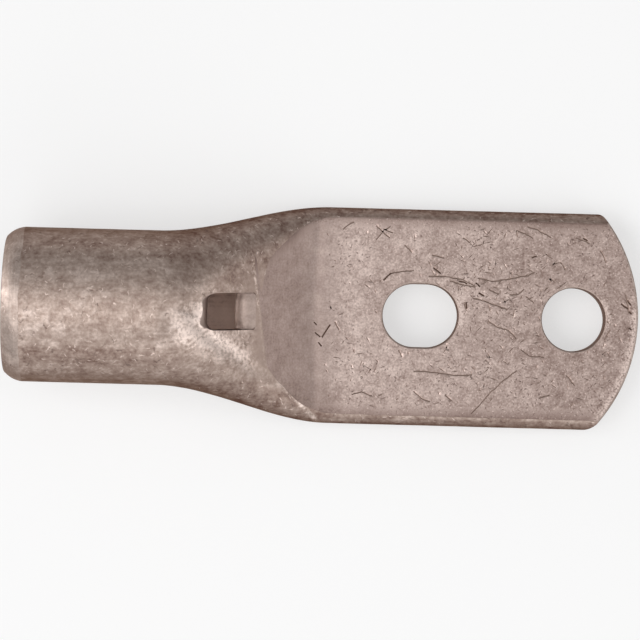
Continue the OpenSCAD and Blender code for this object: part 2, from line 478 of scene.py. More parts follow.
def tin_finish(name, extra=None, **look):
    """A tinned copper finish in coats. extra changes the tone and says where marks lie."""
    look = PLAIN_FACE | look
    material = bpy.data.materials.new(name)
    material.use_nodes = True
    t = material.node_tree
    add = partial(add_to, t)
    shader = t.nodes["Principled BSDF"]
    shader.inputs["Metallic"].default_value = 1.0
    shader.inputs["Specular Tint"].default_value = to_linear(EDGE_TINT)
    spot = add("TexCoord").outputs["Object"]
    place = add("VectorMath SCALE", spot, 1 / MM)

    # The tone, from the clouds down to the grain
    noises = {}
    tone = 0.0
    for layer, (size, amount, detail) in zip(LAYERS, look["layers"]):
        from_here = place
        if layer == "lines":
            from_here = add("VectorMath MULTIPLY", place, look["stretch"])
        noise = add("TexNoise", from_here, Scale=1 / size, Detail=detail)
        noises[layer] = add("SUBTRACT", noise, 0.5)
        tone = add("MULTIPLY_ADD", noises[layer], amount, tone)
    rough, struck = look["roughness"], 1.0
    if extra:
        tone, rough, struck = extra(add, place, tone, rough, noises)
    dull = add("MapRange", tone, -0.5, 0, 1, 0)
    bright = add("MapRange", tone, 0, 0.5, 0, 1)

    # Dark nicks, which gather in some clouds, and bright scuffs
    crowd = add("MapRange", noises["clouds"], -0.08, 0.1, 0.2, 1)
    nicks = add("Group", place, *look["nicks"], node_tree=marks)
    nicks = add("MULTIPLY", nicks, crowd)
    nicks = add("MULTIPLY", nicks, struck)
    grime = add("MULTIPLY", nicks, look["grime"])
    moved = add("VectorMath ADD", place, ELSEWHERE)
    scuffs = add("Group", moved, *look["scuffs"], node_tree=marks)
    scuffs = add("MULTIPLY", scuffs, struck)
    # Painted shade: faces seen edge-on are darkened towards a dark brown
    facing = add("LayerWeight", 0.5).outputs["Facing"]
    edge_shade = add("MapRange", facing, 0.2, 0.6, 0, look["edge_on"])

    coats = [(dull, look["tarnish"]), (bright, look["rubbed"]), (scuffs, look["rubbed"])]
    coats += [(grime, GRIME), (edge_shade, EDGE_SHADE_COLOUR)]
    colour = to_linear(look["tin"])
    for share, code in coats:
        colour = add("Mix RGBA", share, colour, to_linear(code))
    t.links.new(colour.outputs[2], shader.inputs["Base Color"])

    # Rubbed tin is a little smoother, tarnish and nicks a little rougher
    rough = add("MULTIPLY_ADD", tone, -0.12, rough)
    rough = add("MULTIPLY_ADD", nicks, 0.2, rough)
    t.links.new(rough.outputs[0], shader.inputs["Roughness"])

    # Height of the surface in millimetres
    height = 0.0
    for layer, amount in look["relief"].items():
        height = add("MULTIPLY_ADD", noises[layer], amount, height)
    height = add("MULTIPLY_ADD", nicks, -0.03, height)
    bump = add("Bump", Strength=1, Distance=MM, Height=height)
    t.links.new(bump.outputs[0], shader.inputs["Normal"])
    print(f"{name}: {len(t.nodes)} nodes")
    return material


def close_to(add, value, middle, full, none, most=1, least=0):
    """most where value is within full of middle, and least where it is beyond none."""
    off = add("ABSOLUTE", add("SUBTRACT", value, middle))
    return add("MapRange", off, full, none, most, least)


# %% [markdown]
# The barrel and the shoulder keep the skin that the tube got in the plating
# drum. It is mottled, and duller than the pressed palm. Some places have their
# own tone. The shoulder's crest on the -Y side and the window's rim get a painted
# highlight. The flanks, the palm's rolled edges and two bands along the barrel
# get painted shade, and the barrel's -Y edge gets a painted highlight. Next to the
# ramp the press has calmed the skin, and along its edge lies a broken line, rubbed
# and with a painted highlight. Each is a Map Range over a distance, in
# millimetres in the frame, whose result is added to the tone.

# %% Tumbled skin
WINDOW_RIM = Vector((-20.6, -2.4, 22.6))
CREST_START = -20.8


def skin_tones_and_painted_light(add, place, tone, rough, noises):
    """Tones of the tumbled skin that belong to a place on the lug, painted highlights and painted
    shade among them.
    """
    x, y, _ = add("SeparateXYZ", place).outputs

    # A painted highlight lies along the crest, which bows away from the window, and it narrows
    # along the crest
    ahead = add("SUBTRACT", x, CREST_START)
    bow = add("MULTIPLY_ADD", ahead, 0.0185, 0.34)
    crest = add("MULTIPLY_ADD", ahead, bow, 3.4)
    away = add("ABSOLUTE", add("ADD", y, crest))
    wide = add("MapRange", ahead, 4, 15, 3.6, 0.8)
    band = add("MapRange", away, 0, wide, 1.2, 0)
    band = add("MINIMUM", band, 1)
    near = add("MapRange SMOOTHSTEP", ahead, -5.5, -1)
    gone = add("MapRange SMOOTHSTEP", ahead, 4, 12, 1, 0.2)
    again = add("MapRange", ahead, 13, 17, 0, 0.9)
    far = add("ADD", gone, again)
    mask = add("MULTIPLY", band, near)
    mask = add("MULTIPLY", mask, far)
    # A second painted highlight lies round the window's rim
    window = add("VectorMath DISTANCE", place, WINDOW_RIM)
    window = add("MapRange", window, 2, 5, 1, 0)
    mask = add("MAXIMUM", mask, window)
    highlight_grain = add("MULTIPLY", noises["grain"], mask)
    tone = add("MULTIPLY_ADD", highlight_grain, 1.2, tone)
    tone = add("MULTIPLY_ADD", mask, 0.44, tone)
    rough = add("MULTIPLY_ADD", mask, -0.06, rough)

    # Painted shade on the flanks, on the +Y side from higher up
    left = add("MapRange", y, 4, 8.5, 0, -0.25)
    shoulder = add("MapRange", x, -30, -22, -0.15, 1)
    left = add("MULTIPLY", left, shoulder)
    right = add("MapRange", y, -10, -13, 0, -0.22)
    flank = add("ADD", left, right)
    here = add("MapRange", x, -4, 3, 1, 0)
    tone = add("MULTIPLY_ADD", flank, here, tone)

    # Along the barrel lie two bands of painted shade, and the -Y edge gets a painted highlight
    bands = add("MapRange", y, -10.6, -12.2, 0, 0.26)
    for middle, reach, depth in ((9.8, 2.3, -0.19), (-7.8, 1.9, -0.25)):
        bands = add("ADD", bands, close_to(add, y, middle, reach / 2, reach, depth))
    on_barrel = add("MapRange", x, -28, -22, 1, 0)
    tone = add("MULTIPLY_ADD", bands, on_barrel, tone)

    # Painted shade on the palm's rolled edges, the +Y one more so
    back = add("MapRange", y, 15.6, 16.6, 0, -0.26)
    front = add("MapRange", y, -15.9, -17, 0, -0.22)
    edges = add("ADD", back, front)
    on_palm = add("MapRange", x, -6, 2)
    tone = add("MULTIPLY_ADD", edges, on_palm, tone)

    # Next to the ramp the skin is calm, and along the press's edge lies a broken line, rubbed and
    # with a painted highlight
    reach = add("MULTIPLY_ADD", y, CREASE_SKEW, x)
    reach = add("SUBTRACT", reach, along(CREASE_X) / MM)
    calm = add("MapRange SMOOTHSTEP", reach, -3.5, -0.2, 0, 0.85)
    calm = add("MULTIPLY", calm, close_to(add, y, -2, 6, 11))
    tone = add("Mix", calm, tone, -0.14)
    line = close_to(add, reach, -0.3, 0.05, 0.3)
    broken = add("MapRange", noises["grain"], -0.08, 0.12, 0, 0.45)
    line = add("MULTIPLY", line, broken)
    line = add("MULTIPLY", line, close_to(add, y, 5, 3.5, 5.5, 1, 0.25))
    tone = add("ADD", tone, line)
    return tone, rough, add("SUBTRACT", 1, calm)


tumbled = tin_finish(
    "tinned_copper_tumbled",
    skin_tones_and_painted_light,
    tin="bca89d",
    tarnish="866e64",
    rubbed="efdcd2",
    layers=[(6, 0.5, 2), (1.6, 1, 5), (0.5, 0.7, 2), (0.6, 0.35, 2)],
    stretch=Vector((0.2, 1, 1)),
    roughness=0.46,
    grime=0.4,
    nicks=(1.6, 1.3, 0.4, 0.35),
    scuffs=(1.2, 0.9, 0.2, 0.28),
    edge_on=0.42,
    relief={"blotches": 0.05, "grain": 0.035},
)

# %% [markdown]
# The press wipes the palm and the ramp smooth. On the ramp, and a little way past
# the bend, the metal has flowed along the tool and kept fine lines across the
# lug, and there are hardly any nicks. On the palm, which slid against other
# lugs, there are many. The ramp gets painted shade, and the palm painted light
# that falls off from the bend towards the tip. Its long edges and the ramp's
# border with the +Y flank get ragged painted shade, and the rims that stand out,
# at the tip and beside the bolt holes, get painted highlights.

# %% Pressed skin
# Where each rim's painted highlight has its arc's centre, which way it faces, and
# from what radius to what radius it brightens
RIM_HIGHLIGHTS = [
    (along(LUG_LEN - TIP_R) / MM, -0.44, 25.4, 26.6),
    (41.4, 0.15, 6.4, 5.7),
    (17.0, 0.15, 6.4, 5.7),
]


def pressed_tones_and_painted_light(add, place, tone, rough, noises):
    """Tones of the pressed skin that belong to a place on the lug, painted light and painted shade
    among them.
    """
    x, y, _ = add("SeparateXYZ", place).outputs
    bend = along(BEND_X) / MM
    ramp = add("MapRange", x, bend - 1.5, bend + 0.5, 1, 0)
    smooth = add("MapRange", x, bend + 0.5, bend + 4.5, 1, 0)
    calm = add("MULTIPLY_ADD", smooth, -0.55, 1)
    tone = add("MULTIPLY", tone, calm)
    lines = add("MULTIPLY", noises["lines"], ramp)
    tone = add("MULTIPLY_ADD", lines, 0.22, tone)
    # Painted light, lighter by the bend and darker towards the tip, and painted shade on the ramp
    light_falloff = add("MapRange", x, 0, 46, 0.16, -0.14)
    tone = add("ADD", tone, light_falloff)
    shade = add("MapRange", x, bend - 4, bend + 5, -0.36, 0)
    tone = add("ADD", tone, shade)

    # Ragged painted shade along both long edges and on the ramp where it meets the +Y flank, and a
    # darker patch on the -Y side just past the bend
    ragged = add("MULTIPLY_ADD", noises["grain"], 5, 0)
    ragged = add("MULTIPLY_ADD", noises["blotches"], 4, ragged)
    out = add("ADD", add("ABSOLUTE", y), ragged)
    ragged_edge_shade = add("MapRange", out, 15.2, 16.6, 0, -0.5)
    tone = add("ADD", tone, ragged_edge_shade)
    low_left = add("MapRange", y, -10, -14, 0, -0.16)
    near = add("MapRange", x, 4, 12, 1, 0)
    tone = add("MULTIPLY_ADD", low_left, near, tone)
    ramp_border_shade = add("MULTIPLY_ADD", x, -0.9, ragged)
    ramp_border_shade = add("ADD", ramp_border_shade, y)
    ramp_border_shade = add("MapRange", ramp_border_shade, 16.3, 18.6, 0, -0.3)
    tone = add("MULTIPLY_ADD", ramp_border_shade, ramp, tone)

    # Painted highlights on the rims
    rim_highlight = 0.0
    for centre_x, aside, dull_at, bright_at in RIM_HIGHLIGHTS:
        centre = Vector((centre_x, 0.4, PALM_T / MM))
        away = add("VectorMath SUBTRACT", place, centre)
        far = add("VectorMath LENGTH", away)
        near = add("MapRange", far, dull_at, bright_at)
        way = add("VectorMath NORMALIZE", away)
        way = add("VectorMath DOT_PRODUCT", way, Vector((0.9, aside, 0)))
        facing = add("MapRange", way, 0.78, 0.9)
        rim = add("MULTIPLY", near, facing)
        rim_highlight = add("MAXIMUM", rim, rim_highlight)
    sparkle = add("MULTIPLY_ADD", noises["grain"], 2.2, 0.5)
    rim_highlight = add("MULTIPLY", rim_highlight, sparkle)
    tone = add("MULTIPLY_ADD", rim_highlight, 1.1, tone)
    struck = add("MULTIPLY_ADD", ragged_edge_shade, 2, 1)
    palm = add("SUBTRACT", 1, smooth)
    return tone, rough, add("MULTIPLY", struck, palm)


pressed = tin_finish(
    "tinned_copper_pressed",
    pressed_tones_and_painted_light,
    tin="b7a39b",
    tarnish="8a756d",
    rubbed="e2cec5",
    layers=[(7, 0.5, 2), (1.6, 0.98, 5), (0.34, 1.15, 2), (0.3, 0, 2)],
    stretch=Vector((1, 0.15, 1)),
    roughness=0.42,
    grime=0.8,
    nicks=(0.9, 0.55, 0.22, 0.5),
    scuffs=(0.8, 0.4, 0.18, 0.5),
    edge_on=0.42,
    relief={"blotches": 0.018, "grain": 0.02},
)

# %% [markdown]
# The lathe turned the mouth and the shears trimmed the tip before the plating,
# so these narrow faces are even, with a hint of copper where handling has worn
# the tin. The walls of the holes are a little browner. The hollow and the bore
# never touch another lug, so they keep a paler tin, and it is made paler still as
# painted light in the shaded hollow. These three have no tones of their own
# places.

# %% Turned, drilled and inner faces
turned = tin_finish(
    "tinned_copper_turned",
    tin="b6a59c",
    tarnish="8a766c",
    rubbed="e2d0c6",
    layers=[(5, 0.6, 2), (1.5, 0.8, 4), (0.35, 0.5, 2), (0.3, 0.3, 1)],
    stretch=Vector((1, 0.02, 0.02)),
    nicks=(1.5, 0.7, 0.2, 0.2),
    scuffs=(1.2, 0.7, 0.15, 0.3),
    edge_on=0.12,
    relief={"blotches": 0.03, "grain": 0.02},
)
drilled = tin_finish(
    "tinned_copper_drilled",
    tin="b7a49b",
    tarnish="776861",
    rubbed="cdbab1",
    layers=[(5, 0.5, 2), (1.2, 0.5, 3), (0.35, 0.3, 2), (0.3, 0.3, 1)],
    edge_on=0.35,
)
# Paler than the outer tin, partly as painted light for the shaded hollow
inside = tin_finish(
    "tinned_copper_inside",
    tin="decbc1",
    tarnish="a08d84",
    rubbed="ead8cf",
    layers=[(6, 0.5, 2), (1.5, 0.4, 3), (0.4, 0.3, 2), (0.5, 0.4, 1)],
    stretch=Vector((0.05, 1, 1)),
    roughness=0.6,
    grime=0.4,
    nicks=(3, 0.8, 0.15, 0.1),
    scuffs=(3, 0.8, 0.15, 0.1),
    edge_on=0.1,
)

# %% [markdown]
# Grime and oxide gather in the bottom of each scratch, where no rag reaches
# them. Both are the same in every place, so each is one colour. It stays metal,
# since the film is thin, and the deepest nicks are the darkest.

# %% Tarnish in scratches
scratched = bpy.data.materials.new("tarnish_in_scratches")
gouged = bpy.data.materials.new("grime_in_nicks")
for material, colour in ((scratched, "8f7b71"), (gouged, "735e54")):
    material.use_nodes = True
    shader = material.node_tree.nodes["Principled BSDF"]
    shader.inputs["Base Color"].default_value = to_linear(colour)
    shader.inputs["Metallic"].default_value = 1.0
    shader.inputs["Roughness"].default_value = 0.5
    print(f"{material.name}: #{colour}")

# %% [markdown]
# ## Cutting
#
# A cut is a Boolean. The Manifold solver is fast and leaves a closed mesh, as
# long as both solids are closed too. The modifier is applied at once by reading
# the evaluated mesh back, and the tool is thrown away. Some tools are made by
# trees and the others are lofts: rings with the same number of points, stacked
# and joined by quads.

# %% Cut and loft helpers


def cut(body, tool, operation="DIFFERENCE"):
    """Cuts a body with a tool, whose material goes to the new faces."""
    modifier = body.modifiers.new("cut", "BOOLEAN")
    modifier.object = tool
    modifier.operation = operation
    modifier.solver = "MANIFOLD"
    modifier.material_mode = "TRANSFER"
    seen = body.evaluated_get(bpy.context.evaluated_depsgraph_get())
    mesh = bpy.data.meshes.new_from_object(seen)
    body.modifiers.clear()
    body.data = mesh
    print(f"after {tool.name}: {len(mesh.polygons)} faces")
    bpy.data.objects.remove(tool)


def loft(name, rings, finish):
    """A solid through rings of points. Each ring turns left about the way they stack."""
    count = len(rings[0])
    sides = []
    for k in range(len(rings) - 1):
        for i in range(count):
            a, b = k * count + i, k * count + (i + 1) % count
            sides.append((a, b, b + count, a + count))
    last = (len(rings) - 1) * count
    ends = [tuple(reversed(range(count))), tuple(range(last, last + count))]
    mesh = bpy.data.meshes.new(name)
    mesh.from_pydata([p for ring in rings for p in ring], [], sides + ends)
    mesh.materials.append(finish)
    made = bpy.data.objects.new(name, mesh)
    bpy.context.scene.collection.objects.link(made)
    return made


def arc(cx, cy, radius, start, stop, steps):
    """Points on an arc, with its angles in degrees."""
    turns = [math.radians(start + (stop - start) * k / steps) for k in range(steps + 1)]
    return [(cx + radius * math.cos(a), cy + radius * math.sin(a)) for a in turns]


# %% [markdown]
# The blank is sawn a little too long at both ends, because the lathe and the
# shears take that off again. A slight sag of the upper wall and the dents show
# that the tube was worked by force, and isn't cast.

# %% The tube
lug = run_tree(
    tube_tree,
    "lug_body",
    start=-1 * MM,
    end=LUG_LEN + 1 * MM,
    rows=210,
    points_round=168,
    sag=0.4 * MM,
    swell=0.6,
    dent_depth=0.06 * MM,
    dent_size=4 * MM,
    finish=tumbled,
)

# %% [markdown]
# Under the shoulder the inner walls follow the outer ones, one wall's thickness
# away, until they meet. There the hollow ends. Towards the mouth it becomes the
# round bore for the cable, with a small lead-in, so that no strand catches there.

# %% The hollow and the bore
hollow = run_tree(
    tube_tree,
    "hollow",
    start=BARREL_LEN - 0.2 * MM,
    end=HOLLOW_END,
    rows=60,
    points_round=96,
    wall=WALL,
    finish=inside,
)
cut(lug, hollow)

AROUND = 144
AXIS_Z = TUBE_D / 2
BORE_R = TUBE_D / 2 - WALL
LEAD_IN = 0.4 * MM
PAST = 2 * MM  # how far a tool reaches past what it cuts


def lathe(name, profile, finish):
    """A solid of turning about the barrel's axis, from distances and radii."""
    turns = [2 * math.pi * i / AROUND for i in range(AROUND)]
    rings = []
    for x, radius in profile:
        ring = [(BARREL_SIDE + radius * math.cos(a), AXIS_Z + radius * math.sin(a)) for a in turns]
        rings.append([(along(x), y, z) for y, z in ring])
    return loft(name, rings, finish)


profile = [
    (-PAST, BORE_R + LEAD_IN + PAST),
    (0.0, BORE_R + LEAD_IN),
    (LEAD_IN, BORE_R),
    (BARREL_LEN, BORE_R),
]
cut(lug, lathe("bore", profile, inside))

# %% [markdown]
# The mouth is turned to a blunt nose, so that the lug slides into its heat-shrink
# sleeve. Its profile falls away slowly at first and then more and more steeply.
# The tool is the space that the lathe leaves, so only what is inside it stays.

# %% The turned mouth
NOSE_LEN = 3.6 * MM
NOSE_DEPTH = 1.35 * MM
NOSE_POWER = 2.6
NOSE_STEPS = 12
EDGE_R = 0.2 * MM
FAR = 60 * MM
nose = []
for k in range(NOSE_STEPS + 1):
    share = 1 - k / NOSE_STEPS
    nose.append((EDGE_R + NOSE_LEN * (1 - share), TUBE_D / 2 - NOSE_DEPTH * share**NOSE_POWER))
blunt = [(0.0, 2.0), (0.1, 1.2), (0.4, 0.5)]
profile = [
    *[(ahead * EDGE_R, nose[0][1] - inward * EDGE_R) for ahead, inward in blunt],
    *nose,
    (NOSE_LEN + PAST, TUBE_D / 2 + 0.3 * MM),
    (NOSE_LEN + PAST, FAR),
    (LUG_LEN + PAST, FAR),
]
cut(lug, lathe("mouth", profile, turned), "INTERSECT")

# %% [markdown]
# Press and anvil are blocks as fine as their relief needs. Each starts as a cube
# of side 1: its length is spread along the lug, its width is the tool's, and its
# lower and upper points go to two heights. The press's lower side is the ramp
# and the level face over the palm. The line where the ramp begins is skewed, as
# in the photo, and the face is uneven by a few hundredths of a millimetre, as
# worn dies are. The curved border between ramp and shoulder isn't drawn: it is
# where the two surfaces meet.

# %% The press
TOOL_WIDE = 50 * MM
PRESS_TOP = 40 * MM
CROWN_HALF = 12 * MM
tool_sizes = {
    "Cells along": 120,
    "Cells across": 90,
    "Relief": 0.06 * MM,
    "Relief size": 5 * MM,
    "Foot": 0.9 * MM,
    "Crown": 0.35 * MM,
    "Finish": placeholder,
}


def add_tool(add, given, start, skew, add_heights):
    """A block over the pressed part, from start on, between two heights."""
    unit = Vector((1, 1, 1))
    block = add("MeshCube", unit, given["Cells along"], given["Cells across"], 2)
    cube_x, cube_y, cube_z = add("SeparateXYZ", add("InputPosition")).outputs
    y = add("MULTIPLY", cube_y, TOOL_WIDE)
    from_x = add("MULTIPLY_ADD", y, -skew, start)
    x = add("MapRange", cube_x, -0.5, 0.5, from_x, LUG_LEN + PAST)
    flat = add("CombineXYZ", add("ADD", x, MOUTH_X), y, 0)
    finer = add("DIVIDE", 1, given["Relief size"])
    relief = add("TexNoise", flat, Scale=finer, Detail=2)
    upper = add("GREATER_THAN", cube_z, 0)
    z = add("Mix", upper, *add_heights(add, given, x, y, relief))
    place = add("VectorMath ADD", flat, add("CombineXYZ", Z=z))
    return add("SetPosition", block, Position=place)


def add_press_heights(add, given, x, y, relief):
    """The press's face below, and its top."""
    face = press_face(add, x, add("MULTIPLY", given["Foot"], given["Foot"]))
    centred = add("ADD", relief, -0.5)
    face = add("MULTIPLY_ADD", centred, given["Relief"], face)

    # The ramp is a little crowned, so that it presses deepest in the middle
    ramp = hump(add, add("MapRange", x, CREASE_X, BEND_X))
    share = add("DIVIDE", y, CROWN_HALF)
    share = add("MULTIPLY_ADD", share, share, -1)
    share = add("MINIMUM", share, 0)
    swell = add("MULTIPLY", ramp, share)
    return add("MULTIPLY_ADD", swell, given["Crown"], face), PRESS_TOP


def add_press_rule(add, given):
    """A block whose lower side is the press: a ramp and a level face."""
    return add_tool(add, given, CREASE_X, CREASE_SKEW, add_press_heights)


press_tree = new_tree("Press", tool_sizes, add_press_rule)
cut(lug, run_tree(press_tree, "press", finish=pressed))

# %% [markdown]
# The lug lies on the anvil when the press comes down, so the underside is flat
# below the shoulder and the palm. The anvil starts 2 mm beyond the barrel's end.

# %% The anvil
ANVIL_LOW = -10 * MM


def add_anvil_heights(add, given, x, y, relief):
    """The anvil's foot, and its face above."""
    return ANVIL_LOW, add("MULTIPLY", relief, given["Relief"])


def add_anvil_rule(add, given):
    """A block whose upper side flattens the underside."""
    return add_tool(add, given, BARREL_LEN + 2 * MM, 0.0, add_anvil_heights)


anvil_tree = new_tree("Anvil", tool_sizes, add_anvil_rule)
cut(lug, run_tree(anvil_tree, "anvil", finish=pressed))

# %% [markdown]
# Shears trim the palm's end to a wide arc and round its two corners, the right
# one more than the left. They roll the upper edge over and leave the lower one
# sharper. The tool is a stack of the same outline at many heights, drawn in by
# more at the edges, and again only what is inside it stays.

# %% The shears at the tip
TIP_SIDE = 0.5 * MM
CORNER_LEFT_R = 1.6 * MM
CORNER_RIGHT_R = 3.4 * MM
TIP_ROUND = 0.35 * MM
TIP_ROUND_LOW = 0.15 * MM
SHEARS_WIDE = 60 * MM
arc_x = LUG_LEN - TIP_R


def corner(radius, side):
    """Centre and end angle of a round corner that touches the palm's side and the tip's arc."""
    cy = side * (PALM_W / 2 - radius)
    reach = math.sqrt((TIP_R - radius) ** 2 - (cy - TIP_SIDE) ** 2)
    return arc_x + reach, cy, math.degrees(math.atan2(cy - TIP_SIDE, reach))


def tip_ring(z, inset):
    """What the shears leave at a height, drawn in by inset."""
    right_x, right_y, right_end = corner(CORNER_RIGHT_R, -1)
    left_x, left_y, left_end = corner(CORNER_LEFT_R, 1)
    wide = SHEARS_WIDE / 2
    outline = [
        (-PAST, wide),
        (-PAST, -wide),
        (right_x, -wide),
        *arc(right_x, right_y, CORNER_RIGHT_R - inset, -90, right_end, 12),
        *arc(arc_x, TIP_SIDE, TIP_R - inset, right_end, left_end, 72)[1:-1],
        *arc(left_x, left_y, CORNER_LEFT_R - inset, left_end, 90, 12),
        (left_x, wide),
    ]
    return [(along(x), y, z) for x, y in outline]


def rolled_edge(radius, steps):
    """How far the points of a round edge are below its end, and how far drawn in."""
    turns = [math.pi / 2 * k / steps for k in range(steps + 1)]
    return [(radius * (1 - math.sin(a)), radius * (1 - math.cos(a))) for a in turns]


# Heights, and how far the outline is drawn in there. The lower edge mirrors an upper one
stack = [
    (-1 * MM, TIP_ROUND_LOW),
    *[(inset, down) for down, inset in rolled_edge(TIP_ROUND_LOW, 5)],
    *[(PALM_T - down, inset) for down, inset in rolled_edge(TIP_ROUND, 6)],
    (PRESS_TOP, TIP_ROUND),
]
cut(lug, loft("shears", [tip_ring(z, inset) for z, inset in stack], turned), "INTERSECT")

# %% [markdown]
# The bolt holes are punched. The metal flows with the punch, so both rims roll
# over by 0.3 mm, and the walls are browner than the palm because no other part
# rubs them. The slot is the same punch, drawn out along the lug.

# %% The bolt holes
ROLL = 0.3 * MM
BOLT_R = 5.25 * MM
HOLE_SIDE = 0.3 * MM
HOLES = {
    # name: middle from the mouth, and how far the slot reaches beyond the circle
    "round_hole": (93.5 * MM, 0.0),
    "slot_hole": (68.1 * MM, 1 * MM),
}


def long_ring(middle, radius, longer, z):
    """A circle that is drawn out along the lug by longer at both ends."""
    ring = []
    for k, side in enumerate((1, -1, -1, 1)):
        ring += arc(side * longer, 0.0, radius, 90 * k, 90 * k + 90, 24)
    return [(along(middle) + x, HOLE_SIDE + y, PALM_T + z) for x, y in ring]


# Heights from the palm's upper face, and how much wider the hole is there
rolled = [
    (-PALM_T - PAST, ROLL),
    *[(inset - PALM_T, down) for down, inset in rolled_edge(ROLL, 6)],
    *[(-down, inset) for down, inset in rolled_edge(ROLL, 6)],
    (PAST, ROLL),
]
for name, (middle, longer) in HOLES.items():
    rings = [long_ring(middle, BOLT_R + grow, longer, z) for z, grow in rolled]
    cut(lug, loft(name, rings, drilled))

# %% [markdown]
# The inspection hole shows the fitter that the cable's end is all the way in. It
# is punched where the shoulder's upper wall slopes. On the far side the punch
# leaves a light floor that falls over a round lip into the hollow, and on the
# near side a rim that it has rolled over. So the tool is a profile along the lug,
# closed far above it, and drawn across: its corners step back on a round, its
# lip is higher at the sides, and it leans a little. Rays measure how high the
# metal is, so that rim and floor start at the real surface.

# %% The inspection hole
PEEP_SIDE = 0.15 * MM
PEEP_HALF = 3.05 * MM
PEEP_BACK_R = 1.5 * MM
PEEP_AHEAD_R = 0.9 * MM
PEEP_LIP = 0.8 * MM
PEEP_LEAN = 0.05
# Places along the lug in the frame and heights are in millimetres here
UPRIGHT_Z = 17
BACK_X, AHEAD_X, ABOVE_Z = -20.6, -10.6, 40.0
LIP_FROM, LIP_TO = -15.3, -13
# How far the floor is below its edge
FLOOR = [(-11.1, 0.0), (-12.0, -0.05), (-12.7, -0.06), (-13.3, 0.0), (-13.8, 0.16), (-14.2, 0.4)]
FLOOR += [(-14.5, 0.7), (-14.8, 1.15), (-15.0, 1.7), (-15.1, 2.4), (-15.2, 5.4)]
# How far the near side is below the metal above it
RIM = [(BACK_X, 12.0), (BACK_X, 6.0), (-19.4, 3.0), (-19.0, 2.2), (-18.9, 1.5), (-18.92, 1.0)]
RIM += [(-19.0, 0.6), (-19.15, 0.3), (-19.35, 0.1), (-19.6, 0.0), (BACK_X, -0.6)]


def surface_z(x, y=PEEP_SIDE / MM):
    """Height of the lug's upper side, in millimetres as its place is."""
    _, place, _, _ = lug.ray_cast((x * MM, y * MM, 2 * TUBE_D), (0, 0, -1))
    return place.z / MM


edge_z = surface_z(FLOOR[0][0])
outline = [(BACK_X, ABOVE_Z, -1), (AHEAD_X, ABOVE_Z, 1), (AHEAD_X, edge_z + 0.4, 1)]
outline += [(x, edge_z - depth, 1) for x, depth in FLOOR]
outline += [(x, surface_z(x) - depth, -1) for x, depth in RIM]
print("window's floor and rim are at, mm:", round(edge_z, 2), round(surface_z(-18.3), 2))


def rounding(across, radius):
    """How far a wall steps back near a round corner."""
    into = min(max(across - (PEEP_HALF - radius), 0.0), radius)
    return radius - math.sqrt(radius**2 - into**2)


def window_ring(y):
    """The profile at a distance to one side of the window's middle."""
    across = abs(y)
    lip = PEEP_LIP * (across / PEEP_HALF) ** 4
    ring = []
    for x, z, end in outline:
        shift = rounding(across, PEEP_BACK_R) if end < 0 else -rounding(across, PEEP_AHEAD_R)
        if end > 0 and LIP_FROM < x < LIP_TO:
            shift += lip
        lean = PEEP_LEAN * (UPRIGHT_Z - z) * MM
        ring.append((x * MM + shift, PEEP_SIDE + y + lean, z * MM))
    return ring


steps = [PEEP_BACK_R * math.sin(math.radians(15 * k)) + PEEP_HALF - PEEP_BACK_R for k in range(7)]
rings = [window_ring(y) for y in (*[-step for step in reversed(steps)], *steps)]
cut(lug, loft("window", rings, drilled))

# %% [markdown]
# ## Nicks and scratches
#
# Other lugs and tools have struck this one. The longest scratches are placed
# where the real ones are. Each is a path on the palm, with its points in
# millimetres from the mouth and from the palm's middle. Curve to Mesh draws a
# thin diamond bar along each path, which gets narrower at both ends. Its lower
# half cuts the groove.

